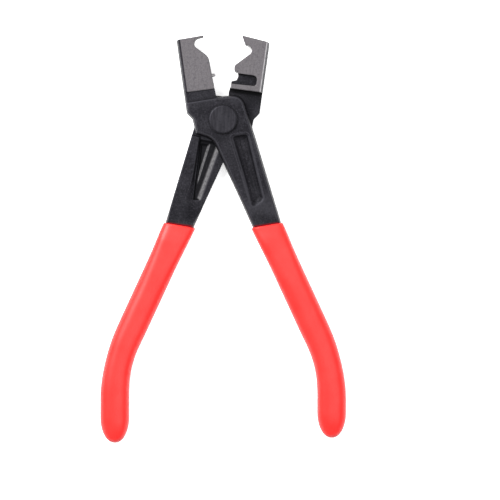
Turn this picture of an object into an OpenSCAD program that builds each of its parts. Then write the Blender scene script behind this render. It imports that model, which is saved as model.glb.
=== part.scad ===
// Collar clamp pliers, lying flat on the bench: +Y runs from the pivot to the jaws, +Z is up,
// and the origin is where the pivot axis meets the bench. All sizes are in millimetres.
// Both levers are the same forging. The rear one is the front one turned over, half a turn about Y,
// and the two differ only in how their jaws are machined.

/* [Pivot] */
// Thickness of each lever's lap at the pivot
lap_t = 5; // [4.6:0.1:5.6]
// Gap between the two laps, and under the formed end of the rivet
lap_gap = 0.1; // [0.06:0.02:0.2]
// Diameter of the rivet's shank
shank_d = 7; // [5:0.5:8]
// Radial clearance of the shank in the rear lever
running_gap = 0.05; // [0.02:0.01:0.1]
// Diameter of the rivet's made head
head_d = 13.1; // [11:0.1:14]
// Height of the made head
head_h = 1.2; // [0.9:0.1:2]
// Diameter of the rivet's formed end
tail_d = 10.6; // [9:0.1:12]
// Height of the formed end
tail_h = 0.8; // [0.5:0.1:1]

/* [Jaws] */
// Thickness over the ground faces of a jaw
jaw_t = 9.2; // [8.4:0.1:9.8]
// Radius of the clamp seat in the front jaw
front_seat_r = 2.45; // [2.2:0.05:2.6]
// Radius of the clamp seat in the rear jaw
rear_seat_r = 2.15; // [1.9:0.05:2.3]
// Diameter of the release pin
pin_d = 1.5; // [1:0.1:2]
// How far the release pin stands out of the jaw
pin_out = 1.55; // [1:0.05:2]
// How deep the release pin is pressed in
pin_seat = 4; // [3:0.5:6]
// Depth of the latch pocket in the rear jaw
pocket_depth = 2.6; // [1.5:0.1:3.5]
// Draft of the forged flanks
draft = 9; // [4:1:11]

/* [Handles] */
// Half thickness of the handle where the grip starts
handle_half_t = 4.2; // [3.8:0.1:4.5]
// Depth of the trough in the outer side of the handle
trough_depth = 1.75; // [1.2:0.05:2]
// Depth of the trough in the lap side, and of the pocket in its floor
lap_trough_depth = 0.9; // [0.6:0.1:1]
// Height of the strip along the lap side's outer edge
strip_h = 1; // [0.6:0.1:2]
// Width of the tang inside the grip
tang_w = 10.2; // [8:0.1:10.6]
// Thickness of the tang
tang_t = 7; // [5:0.1:7.6]

/* [Grips] */
// Width of the dipped grip
grip_w = 12.8; // [12:0.1:13.2]
// Width of the grip's thicker mouth
mouth_w = 13.8; // [13.4:0.1:14.4]
// Radius of the rounded corners of the grip's section
grip_edge_r = 4.6; // [3.5:0.1:5]
// Radius of the bend that turns the handle back inwards
bend_r = 65; // [62:1:80]
// Radius of the rounded corners at the grip's mouth
mouth_edge_r = 4; // [3:0.1:5]
// Extra length of the grip on the rear lever
rear_grip_extra = 2.2; // [0:0.1:3]

/* [Hidden] */
$fn = 64;
arc_step = 7;
far = 60;

half_gap = lap_gap / 2;
mid_z = tail_h + half_gap + lap_t;
jaw_half_t = jaw_t / 2;

// The seats are drilled: each is a true circle that cuts just through the notch's two straight sides.
// The notch's own corner is eased so that the drill takes all of it.
seat_ease = 0.9;
seat_bite = 0.04;

// Outlines are lists of corners [x, y, radius] about the pivot, for the lever with its jaw on the
// left and its handle on the right, seen from its outer side.
front_jaw = [
    [-20.75, 35.2, 0.3], [-8.75, 37.2, 0.25], [-8.65, 36.57, 0.25],
    [-16.38, 35.02, front_seat_r + seat_ease], [-6.46, 27.84, 4], [-3.95, 14.5, 3], [-2.95, 10.15, 0.8]];
rear_jaw = [
    [-20.45, 34.2, 0.3], [-8.45, 37.2, 0.12], [-9.95, 32.85, 0.12],
    [-17.07, 32.85, rear_seat_r + seat_ease], [-4.95, 23.88, 1.6], [-4.95, 21.2, 1],
    [-6.55, 20.95, 0.2], [-6.6, 19.2, 1], [-5.9, 17.6, 0.4], [-3.65, 17.1, 0.12],
    [-3.05, 14.2, 2], [-1.85, 10.3, 0.8]];
body = [
    [8.43, 11.6, 5.4], [25.85, -46.3, 0], [25.9, -50.2, 0], [17.1, -52.2, 0], [13.22, -47.9, 0],
    [-4.71, -8.75, 7], [-12.25, -6.4, 0.8], [-13.6, 0.1, 1.5], [-16.2, 2.75, 1.2]];

// The jaw block ends at a line this far from the pivot, square to the jaw's outer edge.
block_reach = 14.02;
block_lean = 7.4;
// The raised boss starts at a line this far from the pivot.
boss_reach = 9.6;
boss_lean = 9;

// The path down the middle of the handle: straight from the grip's mouth, then a bend, then straight
// down. A heading is the angle from straight down, outwards.
mouth = [19.35, -46.8];
heading = 24.8;
straight_l = 54.2;
mouth_lead = 6;
tang_lead = 0.6;
mouth_taper_l = 24;
seam = 0.02;
grip_end_y = -141;
tang_end_gap = 3;
tang_edge_r = 1;

// Cuts start this far outside the edge that they cut, and solids that join reach this far into each
// other.
cut_lead = 9;
join = 0.001;
// Radii of the rims of the rivet's two ends.
head_rim_r = 0.8;
tail_rim_r = 0.35;
// The release pin keeps its full diameter this far out of the jaw, and narrows to this share.
pin_land = 0.35;
pin_tip_share = 0.45;
// The grip's mouth is this much thinner than the grip.
mouth_drop = 0.4;

function unit(v) = v / norm(v);

bend_centre = mouth + straight_l * [sin(heading), -cos(heading)] - bend_r * [cos(heading), sin(heading)];
bend_end = bend_centre + [bend_r, 0];

// The points of one rounded corner b, between its neighbours a and c.
function corner(a, b, c) =
    let (r = b[2], p = [b.x, b.y], u = unit([a.x, a.y] - p), v = unit([c.x, c.y] - p))
    r <= 0 ? [p] :
    let (half = acos(u * v) / 2, m = p + unit(u + v) * r / sin(half),
         s = p + u * r / tan(half) - m, e = p + v * r / tan(half) - m,
         a0 = atan2(s.y, s.x), turn = (atan2(e.y, e.x) - a0 + 540) % 360 - 180,
         n = max(2, ceil(abs(turn) / arc_step)))
    [for (i = [0 : n]) m + r * [cos(a0 + turn * i / n), sin(a0 + turn * i / n)]];

// Where the drill stands for the seat at corner b.
function seat_centre(a, b, c, r) =
    let (p = [b.x, b.y], u = unit([a.x, a.y] - p), v = unit([c.x, c.y] - p))
    p + unit(u + v) * (r - seat_bite) / sin(acos(u * v) / 2);

function rounded(c) =
    let (n = len(c)) [for (i = [0 : n - 1]) each corner(c[(i + n - 1) % n], c[i], c[(i + 1) % n])];

// Everything to the left of the line from p to q. The face leans back by tilt degrees above z = 0,
// so that a pocket made of several narrows below it.
module left_of(p, q, tilt = 0) {
    translate([p.x, p.y, 0])
        rotate([0, 0, atan2(q.y - p.y, q.x - p.x)])
            rotate([tilt, 0, 0])
                translate([-far, 0, -far]) cube([3 * far, 2 * far, 2 * far]);
}

// Everything above height z.
module above(z) {
    translate([-2 * far, -4 * far, z]) cube([4 * far, 6 * far, far]);
}

// Everything further from the pivot than reach, towards the jaw, beyond a line that leans.
module beyond(reach, lean) {
    rotate([0, 0, lean]) translate([-far, reach, -far]) cube([2 * far, far, 2 * far]);
}

// Places a section, drawn with its width along x and its thickness along y, across the handle's
// straight upper stretch, a distance below the mouth, and extrudes it downwards.
module along_handle(from, l) {
    translate([mouth.x, mouth.y, 0]) rotate([0, 0, heading]) rotate([90, 0, 0])
        translate([0, 0, from]) linear_extrude(l) children();
}

// Sweeps a rounded rectangle down the handle, round the bend and down its end. The straight runs are
// a hair slimmer than the bend and reach into it, so that the three always join.
module sweep_handle(lead, tail, w, t, r) {
    along_handle(-lead, lead + straight_l + seam) round_rectangle(w - seam, t - seam, r);
    translate([bend_centre.x, bend_centre.y, 0])
        rotate_extrude(angle = heading, $fn = 180) translate([bend_r, 0]) round_rectangle(w, t, r);
    translate([bend_end.x, bend_end.y + seam, 0]) rotate([90, 0, 0])
        linear_extrude(tail + seam) round_rectangle(w - seam, t - seam, r);
}

// A rectangle with its corners rounded by true arcs.
module round_rectangle(w, t, r) {
    square([w - 2 * r, t], center = true);
    square([w, t - 2 * r], center = true);
    for (sx = [-1, 1], sy = [-1, 1])
        translate([sx * (w / 2 - r), sy * (t / 2 - r)]) circle(r);
}

// The steel that the grip covers, and the handle as far as the mouth.
module handle_core(jaw) {
    difference() {
        translate([0, 0, -lap_t]) linear_extrude(2 * lap_t) polygon(rounded(concat(jaw, body)));
        handle_faces();
    }
    sweep_handle(tang_lead, bend_end.y - grip_end_y - tang_end_gap, tang_w, tang_t, tang_edge_r);
}

// What is taken off the handle's two faces: the outer one slopes down to the grip, and the lap one
// is level.
module handle_faces() {
    fall_start = -12;
    fall_end = -47;
    level_from = [-4, -5];
    slope = atan((lap_t - handle_half_t) / (fall_start - fall_end));
    translate([0, fall_start, lap_t]) rotate([slope, 0, 0])
        translate([-far, -2 * far, 0]) cube([2 * far, 2 * far + cut_lead, far]);
    translate([level_from.x, level_from.y - far, -far - handle_half_t]) cube([2 * far, far, far]);
}

// What is taken off both faces of the jaw: the ground faces, and the slope from the boss to them.
module jaw_faces() {
    slope = atan((lap_t - jaw_half_t) / (block_reach - boss_reach));
    for (side = [0, 1]) mirror([0, 0, side]) {
        intersection() {
            beyond(block_reach, block_lean);
            above(jaw_half_t);
        }
        intersection() {
            rotate([0, 0, boss_lean]) translate([0, boss_reach, lap_t]) rotate([-slope, 0, 0])
                translate([-far, -cut_lead, 0]) cube([2 * far, far, far]);
            above(jaw_half_t);
        }
    }
}

// What is taken off the lap side, drawn with that side up: all above the lap, as far as the jaw's
// block and the ramp that brings the handle back to its full thickness. A low strip stays along the
// handle's outer edge, and its top end is the stop for the other lever's lobe.
module lap_recess() {
    strip = [[30, -1.41], [10, -7.45], [12.75, -24.6], [13.35, -36], [13.35, -far], [40, -far]];
    mirror([0, 0, 1]) {
        difference() {
            translate([0, 0, -half_gap]) intersection() {
                left_of([8, -38.6], [22, -36], 65);
                above(0);
            }
            beyond(block_reach, block_lean);
            translate([0, 0, -1]) linear_extrude(1 + strip_h) polygon(strip);
        }
        translate([0, 0, -half_gap]) intersection() {
            left_of([13.3, -36], [10, -7.6], 8);
            left_of([2, -13.3], [10.3, -36], 55);
            left_of([0, -35.6], [13, -35.6], 40);
            left_of([13, -8], [0, -10.4], 40);
            above(-lap_trough_depth);
        }
        translate([0, 0, -half_gap]) intersection() {
            left_of([12, -31.5], [9.8, -9.6], 12);
            left_of([5.3, -10.6], [12, -31.5], 30);
            left_of([13, -8.8], [0, -11], 40);
            above(-2 * lap_trough_depth);
        }
    }
}

// The trough in the outer side of the handle.
module outer_trough() {
    translate([0, 0, lap_t]) intersection() {
        left_of([3.3, -7.1], [12.7, -39.6], 51);
        left_of([12.7, -39.6], [18.3, -35.8], 45);
        left_of([18.3, -35.8], [10.9, -5.9], 37);
        left_of([10.9, -5.9], [3.3, -7.1], 40);
        above(-trough_depth);
    }
}

// Tapers both sides of a straight edge away from the parting line at mid thickness. The lever lies
// to the left of the line from p to q.
module flank(p, q) {
    l = norm(q - p);
    for (side = [0, 1]) mirror([0, 0, side])
        translate([p.x, p.y, 0]) rotate([0, 0, atan2(q.y - p.y, q.x - p.x)])
            rotate([draft, 0, 0]) translate([0, -cut_lead, 0]) cube([l, cut_lead, far]);
}

// The forging, before its jaw's own machining. Its middle plane is z = 0 and its outer side is up.
module blank(jaw) {
    difference() {
        handle_core(jaw);
        jaw_faces();
        lap_recess();
        outer_trough();
        flank([jaw[0].x, jaw[0].y], [-15.8, 2]);
        flank([-13.35, 0.2], [-12.35, -5.8]);
        flank([-2.2, -14.1], [13, -47.4]);
        flank([26.6, -48.4], [9.55, 7.8]);
    }
}

module front_lever() {
    color("dimgray") translate([0, 0, mid_z]) difference() {
        blank(front_jaw);
        translate([0, 0, -1]) cylinder(d = shank_d, h = 2 * lap_t);
        pin_place() cylinder(d = pin_d, h = 2 * pin_seat, center = true);
        seat(front_jaw, front_seat_r);
    }
}

module rear_lever() {
    color("dimgray") translate([0, 0, mid_z]) rotate([0, 180, 0]) difference() {
        blank(rear_jaw);
        translate([0, 0, -1]) cylinder(r = shank_d / 2 + running_gap, h = 2 * lap_t);
        latch_pocket();
        seat(rear_jaw, rear_seat_r);
    }
}

// The drilled seat at a jaw's fourth corner.
module seat(jaw, r) {
    translate(seat_centre(jaw[2], jaw[3], jaw[4], r)) cylinder(r = r, h = 3 * lap_t, center = true);
}

// The pocket in the rear jaw that takes the clamp's latch. It opens into the notch above the step.
module latch_pocket() {
    translate([0, 0, -jaw_half_t]) mirror([0, 0, 1]) translate([0, 0, -pocket_depth])
        linear_extrude(far) polygon(rounded([
            [0, 16.25, 0], [-14.6, 14.75, 1.2], [-15.1, 19.2, 1.8], [-5, 20.6, 0]]));
}

// Where the release pin stands in the front jaw, pointing across the gap.
module pin_place() {
    translate([-4.93, 19.75, 0]) rotate([0, 0, 10.7]) rotate([0, 90, 0]) children();
}

module release_pin() {
    color("silver") translate([0, 0, mid_z]) pin_place() {
        translate([0, 0, -pin_seat]) cylinder(d = pin_d, h = pin_seat + pin_land);
        translate([0, 0, pin_land])
            cylinder(d1 = pin_d, d2 = pin_d * pin_tip_share, h = pin_out - pin_land);
    }
}

// Half the section of a round head whose rim is rounded by a true arc.
module head_section(d, h, r) {
    square([d / 2 - r, h]);
    square([d / 2, h - r]);
    intersection() {
        translate([d / 2 - r, h - r]) circle(r);
        square([d / 2, h]);
    }
}

module pivot_rivet() {
    color("darkslategray") {
        translate([0, 0, tail_h - join])
            cylinder(d = shank_d, h = mid_z + lap_t - tail_h + 2 * join);
        translate([0, 0, mid_z + lap_t]) rotate_extrude()
            head_section(head_d, head_h, head_rim_r);
        translate([0, 0, tail_h]) mirror([0, 0, 1]) rotate_extrude()
            head_section(tail_d, tail_h, tail_rim_r);
    }
}

// A dipped grip, drawn on the front lever's handle about the middle plane. Its mouth is thicker and
// tapers into the rest.
module grip(jaw, extra) {
    straight = bend_end.y - grip_end_y - grip_w / 2 + extra;
    taper = atan((mouth_w - grip_w) / 2 / mouth_taper_l);
    difference() {
        union() {
            sweep_handle(mouth_lead, straight, grip_w, 2 * mid_z, grip_edge_r);
            intersection() {
                along_handle(-mouth_lead, mouth_lead + mouth_taper_l + 2)
                    round_rectangle(mouth_w, 2 * mid_z - mouth_drop, mouth_edge_r);
                mouth_wedge(taper);
            }
            translate([bend_end.x, bend_end.y - straight + seam, 0]) rotate([0, 0, 180])
                rotate_extrude(angle = 180) intersection() {
                    round_rectangle(grip_w - 2 * seam, 2 * mid_z - 2 * seam, grip_edge_r);
                    translate([0, -far]) square([far, 2 * far]);
                }
        }
        left_of([13.1, -47.9], [26.2, -46]);
        handle_core(jaw);
    }
}

// A wedge about the handle that is as wide as the mouth there and narrows down the handle.
module mouth_wedge(taper) {
    translate([mouth.x, mouth.y, -far]) rotate([0, 0, heading]) linear_extrude(2 * far) polygon([
        [-mouth_w / 2, far], [-mouth_w / 2, 0], [-mouth_w / 2 + far * tan(taper), -far],
        [mouth_w / 2 - far * tan(taper), -far], [mouth_w / 2, 0], [mouth_w / 2, far]]);
}

module front_grip() {
    color("red") translate([0, 0, mid_z]) grip(front_jaw, 0);
}

module rear_grip() {
    color("red") translate([0, 0, mid_z]) rotate([0, 180, 0]) grip(rear_jaw, rear_grip_extra);
}

front_lever();
rear_lever();
pivot_rivet();
release_pin();
front_grip();
rear_grip();
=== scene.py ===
"""Collar clamp pliers: the visible model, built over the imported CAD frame.

Shapes are worked out in millimetres and written in metres. A lever is drawn as the CAD's own
blank: its pivot at the origin, its outer side up, its jaw on the left and its handle on the right.
The rear lever is the same blank turned over.
"""
from __future__ import annotations

import logging
import math
from collections.abc import Callable, Sequence
from dataclasses import dataclass, field
from enum import Enum

import bmesh
import bpy
import numpy as np
import openvdb
from mathutils import Matrix, Vector

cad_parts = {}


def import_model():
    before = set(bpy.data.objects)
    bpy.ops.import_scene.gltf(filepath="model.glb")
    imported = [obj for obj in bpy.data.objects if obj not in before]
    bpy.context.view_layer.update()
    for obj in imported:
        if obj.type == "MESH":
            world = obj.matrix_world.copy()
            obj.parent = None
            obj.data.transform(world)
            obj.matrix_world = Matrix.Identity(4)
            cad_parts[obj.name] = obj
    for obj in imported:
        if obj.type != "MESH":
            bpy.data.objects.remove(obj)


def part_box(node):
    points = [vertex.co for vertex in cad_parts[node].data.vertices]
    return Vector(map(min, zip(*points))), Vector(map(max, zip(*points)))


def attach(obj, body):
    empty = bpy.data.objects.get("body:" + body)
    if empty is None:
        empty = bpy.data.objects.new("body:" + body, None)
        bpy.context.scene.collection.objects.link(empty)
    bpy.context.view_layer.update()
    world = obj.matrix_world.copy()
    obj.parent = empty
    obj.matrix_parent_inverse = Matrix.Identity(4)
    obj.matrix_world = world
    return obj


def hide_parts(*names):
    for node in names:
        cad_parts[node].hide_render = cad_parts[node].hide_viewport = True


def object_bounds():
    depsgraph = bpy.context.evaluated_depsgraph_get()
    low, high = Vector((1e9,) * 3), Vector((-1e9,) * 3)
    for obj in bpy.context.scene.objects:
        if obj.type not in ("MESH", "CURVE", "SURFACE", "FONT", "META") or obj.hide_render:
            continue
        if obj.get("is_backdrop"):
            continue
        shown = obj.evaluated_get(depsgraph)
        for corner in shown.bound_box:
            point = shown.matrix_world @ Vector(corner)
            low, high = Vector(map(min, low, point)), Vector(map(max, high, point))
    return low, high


MM = 0.001
SAME_POINT = 1e-7
NO_LENGTH = 1e-8
Field = Callable[[np.ndarray, np.ndarray, np.ndarray], np.ndarray]
Corner = tuple[float, float, float]
Place = tuple[float, float]

log = logging.getLogger("pliers")


class Side(Enum):
    """Which way up a lever lies: the front one as drawn, the rear one turned over."""

    FRONT = 1
    REAR = -1


# ---------------------------------------------------------------- distance fields


def round_max(a: np.ndarray, b: np.ndarray, r: float) -> np.ndarray:
    """Keeps what is inside both fields, with the edge between them rounded.

    Args:
        a: signed distance to the first solid, negative inside.
        b: signed distance to the second solid.
        r: radius of the rounded edge, in millimetres.

    Returns:
        The signed distance to what the two have in common.
    """
    return np.minimum(-r, np.maximum(a, b)) + np.hypot(np.maximum(r + a, 0), np.maximum(r + b, 0))


def carve(solid: np.ndarray, tool: np.ndarray, r: float) -> np.ndarray:
    """Takes a tool's shape out of a solid and rounds the new edge.

    Args:
        solid: signed distance to the solid.
        tool: signed distance to the tool.
        r: radius of the new edge, in millimetres.

    Returns:
        The signed distance to what is left.
    """
    return round_max(solid, -tool, r)


def left_of(
    p: Place, q: Place, x: np.ndarray, y: np.ndarray, z: np.ndarray, tilt: float = 0.0
) -> np.ndarray:
    """Measures from a plane that stands on the line from p to q.

    Args:
        p: where the line starts.
        q: where the line ends.
        x: points across the tool.
        y: points along the tool.
        z: points through the tool, from the height at which the plane crosses the line.
        tilt: how far the plane leans outwards above the line, in degrees.

    Returns:
        The signed distance, negative to the left of the line.
    """
    run = np.array(q) - np.array(p)
    nx, ny = np.array([-run[1], run[0]]) / np.linalg.norm(run)
    side = (x - p[0]) * nx + (y - p[1]) * ny
    lean = math.radians(tilt)
    return -(side * math.cos(lean) + z * math.sin(lean))


def smooth(t: np.ndarray) -> np.ndarray:
    """Makes a smooth step.

    Args:
        t: how far along the step each point is, from 0 to 1.

    Returns:
        The step's height, from 0 to 1.
    """
    t = np.clip(t, 0, 1)
    return t * t * (3 - 2 * t)


@dataclass(frozen=True)
class Outline:
    """A closed outline given by its corners, each with the radius that rounds it."""

    corners: Sequence[Corner]
    arc_step: float = 12.0

    def points(self) -> np.ndarray:
        """Returns the outline's points, with each rounded corner drawn as an arc."""
        c = [np.array(k, float) for k in self.corners]
        made: list[np.ndarray] = []
        for i, (here, after) in enumerate(zip(c, c[1:] + c[:1])):
            made += self._arc(c[i - 1][:2], here[:2], after[:2], float(here[2]))
        return np.array(made)

    def _arc(self, a: np.ndarray, b: np.ndarray, c: np.ndarray, r: float) -> list[np.ndarray]:
        """Rounds one corner.

        Args:
            a: the corner before.
            b: the corner to round.
            c: the corner after.
            r: its radius; none leaves it sharp.

        Returns:
            The points along the arc, or the corner itself.
        """
        if r <= 0:
            return [b]
        u = (a - b) / np.linalg.norm(a - b)
        v = (c - b) / np.linalg.norm(c - b)
        half = math.acos(float(u @ v)) / 2
        middle = b + (u + v) / np.linalg.norm(u + v) * r / math.sin(half)
        start = b + u * r / math.tan(half) - middle
        end = b + v * r / math.tan(half) - middle
        first = math.atan2(start[1], start[0])
        turn = (math.atan2(end[1], end[0]) - first + 3 * math.pi) % (2 * math.pi) - math.pi
        steps = max(2, math.ceil(abs(math.degrees(turn)) / self.arc_step))
        angles = first + turn * np.arange(steps + 1) / steps
        return [middle + r * np.array([math.cos(t), math.sin(t)]) for t in angles]

    def distance(self, x: np.ndarray, y: np.ndarray) -> np.ndarray:
        """Measures points from the outline.

        Args:
            x: points across the tool.
            y: points along the tool.

        Returns:
            The signed distance, negative inside.
        """
        pts = self.points()
        x, y = np.broadcast_arrays(x, y)
        nearest = np.full(x.shape, 1e9)
        inside = np.zeros(x.shape, bool)
        for (ax, ay), (bx, by) in zip(pts, np.roll(pts, -1, axis=0)):
            ex, ey = bx - ax, by - ay
            wx, wy = x - ax, y - ay
            along = np.clip((wx * ex + wy * ey) / (ex * ex + ey * ey + 1e-12), 0, 1)
            nearest = np.minimum(nearest, (wx - along * ex) ** 2 + (wy - along * ey) ** 2)
            if ay != by:
                crosses = (ay > y) != (by > y)
                inside ^= crosses & (x < ax + ex * (y - ay) / ey)
        return np.where(inside, -1.0, 1.0) * np.sqrt(nearest)


@dataclass(frozen=True)
class Sculptor:
    """Turns a distance field into a smooth closed mesh."""

    voxel: float = 0.26
    settle_steps: int = 3
    settle_reach: float = 0.1
    least_slope: float = 0.25
    probe: float = 0.12

    def mesh(self, shape: Field, low: Sequence[float], high: Sequence[float]) -> tuple:
        """Samples a field on a grid, skins it, and settles the skin on the true surface.

        Args:
            shape: the field, negative inside, in millimetres.
            low: lowest corner of the box to sample.
            high: highest corner of the box.

        Returns:
            The points, the quads, the normals and how sharply the surface bends at each point.
        """
        axes = [np.arange(a, b + self.voxel, self.voxel) for a, b in zip(low, high)]
        x, y, z = (a.reshape([-1 if i == k else 1 for i in range(3)]) for k, a in enumerate(axes))
        band = 3 * self.voxel
        samples = np.clip(shape(x, y, z), -band, band).astype(np.float32)
        grid = openvdb.FloatGrid(band)
        grid.copyFromArray(samples)
        points, quads = grid.convertToQuads(0.0)
        points = points.astype(float) * self.voxel + np.array(low)
        for _ in range(self.settle_steps):
            value, slope, _bend = self._probe(shape, points)
            step = value / np.maximum((slope**2).sum(1), self.least_slope)
            points -= slope * np.clip(step, -self.settle_reach, self.settle_reach)[:, None]
        _value, slope, bend = self._probe(shape, points)
        normals = slope / np.maximum(np.linalg.norm(slope, axis=1), 1e-9)[:, None]
        return points, quads, normals, bend

    def _probe(self, shape: Field, p: np.ndarray) -> tuple[np.ndarray, np.ndarray, np.ndarray]:
        """Reads a field, its slope and its bend at points.

        Args:
            shape: the field.
            p: the points.

        Returns:
            The values, the slopes, and the bends: positive on outside edges, negative in corners.
        """
        x, y, z = p.T
        value = shape(x, y, z)
        slope = np.empty_like(p)
        total = -6 * value
        for k, step in enumerate(np.eye(3) * self.probe):
            ahead = shape(x + step[0], y + step[1], z + step[2])
            behind = shape(x - step[0], y - step[1], z - step[2])
            slope[:, k] = (ahead - behind) / (2 * self.probe)
            total += ahead + behind
        return value, slope, total / self.probe**2


# ---------------------------------------------------------------- node building


class Wires:
    """Adds nodes to a tree and joins them up."""

    def __init__(self, tree: bpy.types.NodeTree) -> None:
        """Starts on a tree.

        Args:
            tree: the shader or geometry tree to add to.
        """
        self.tree = tree

    def add(self, kind: str, inputs: dict | None = None, **settings: object) -> bpy.types.Node:
        """Adds one node.

        Args:
            kind: the node's type.
            inputs: socket name or number to a value, or to a socket to join it to.
            settings: the node's own settings.

        Returns:
            The new node.
        """
        node = self.tree.nodes.new(kind)
        for name, value in settings.items():
            setattr(node, name, value)
        for name, value in (inputs or {}).items():
            self.feed(node.inputs[name], value)
        return node

    def feed(self, socket: bpy.types.NodeSocket, value: object) -> None:
        """Sets a socket to a value, or joins it to another socket.

        Args:
            socket: the input to fill.
            value: a value, or the output to join it to.
        """
        if isinstance(value, bpy.types.NodeSocket):
            self.tree.links.new(value, socket)
        else:
            socket.default_value = value

    def math(self, operation: str, *values: object, clamp: bool = False) -> bpy.types.NodeSocket:
        """Works out one sum.

        Args:
            operation: the Math node's operation.
            values: its inputs, as numbers or sockets.
            clamp: whether to hold the result between 0 and 1.

        Returns:
            The result.
        """
        node = self.add("ShaderNodeMath", dict(enumerate(values)), operation=operation)
        node.use_clamp = clamp
        return node.outputs[0]

    def vector(self, operation: str, *values: object) -> bpy.types.NodeSocket:
        """Works out one vector sum, and returns its vector."""
        node = self.add("ShaderNodeVectorMath", dict(enumerate(values)), operation=operation)
        return node.outputs[0]

    def scaled(self, vector: object, by: object) -> bpy.types.NodeSocket:
        """Returns a vector times a number."""
        node = self.add("ShaderNodeVectorMath", {0: vector, "Scale": by}, operation="SCALE")
        return node.outputs[0]

    def attribute(self, name: str) -> bpy.types.NodeSocket:
        """Returns one of the mesh's own point attributes."""
        return self.add("ShaderNodeAttribute", attribute_name=name).outputs["Fac"]

    def bump(self, height: object, strength: float, depth: float) -> bpy.types.NodeSocket:
        """Turns a height into a bumpy normal.

        Args:
            height: the height, from 0 to 1.
            strength: how strong the bumps are.
            depth: their depth, in millimetres.

        Returns:
            The normal.
        """
        values = {"Strength": strength, "Distance": depth * MM, "Height": height}
        return self.add("ShaderNodeBump", values).outputs[0]

    def ramp(
        self, value: object, low: float, high: float, a: object, b: object
    ) -> bpy.types.NodeSocket:
        """Carries a value smoothly from one range to another.

        Args:
            value: what to carry.
            low: the value that gives a.
            high: the value that gives b.
            a: the result at low.
            b: the result at high.

        Returns:
            The result, held between a and b.
        """
        values = {0: value, 1: low, 2: high, 3: a, 4: b}
        return self.add("ShaderNodeMapRange", values, interpolation_type="SMOOTHSTEP").outputs[0]

    def blend(self, share: object, a: object, b: object) -> bpy.types.NodeSocket:
        """Mixes two colours.

        Args:
            share: how much of the second colour to take.
            a: the first colour.
            b: the second colour.

        Returns:
            The mixed colour.
        """
        node = self.add("ShaderNodeMix", data_type="RGBA")
        for socket, value in zip((node.inputs[0], node.inputs[6], node.inputs[7]), (share, a, b)):
            self.feed(socket, value)
        return node.outputs[2]

    def noise(
        self, where: object, per_mm: float, detail: float = 2.0, stretch: tuple = (1, 1, 1)
    ) -> bpy.types.NodeSocket:
        """Makes cloudy noise.

        Args:
            where: the coordinates to read, in metres.
            per_mm: how many features there are to a millimetre.
            detail: how many finer layers it has.
            stretch: the frequency along each axis, as a share of per_mm.

        Returns:
            The noise, from 0 to 1.
        """
        squeezed = self.vector("MULTIPLY", where, tuple(float(s) for s in stretch))
        values = {"Vector": squeezed, "Scale": per_mm / MM, "Detail": detail}
        return self.add("ShaderNodeTexNoise", values).outputs[0]


# ---------------------------------------------------------------- finishes


@dataclass(frozen=True)
class Finish:
    """What every finish shares: a name and a way to start its shader."""

    name: str

    def start(self, **uniform: object) -> tuple[Wires, bpy.types.Node, bpy.types.Material]:
        """Makes an empty material with a surface shader.

        Args:
            uniform: shader socket names, with _ for a space, to values that hold all over.

        Returns:
            The tree's wires, the surface shader and the material.
        """
        material = bpy.data.materials.new(self.name)
        material.use_nodes = True
        tree = material.node_tree
        tree.nodes.clear()
        wires = Wires(tree)
        shader = wires.add("ShaderNodeBsdfPrincipled")
        for name, value in uniform.items():
            shader.inputs[name.replace("_", " ")].default_value = value
        output = wires.add("ShaderNodeOutputMaterial")
        tree.links.new(shader.outputs[0], output.inputs["Surface"])
        return wires, shader, material

    def coordinates(self, wires: Wires) -> bpy.types.NodeSocket:
        """Returns the Object coordinates."""
        return wires.add("ShaderNodeTexCoord").outputs["Object"]


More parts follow.
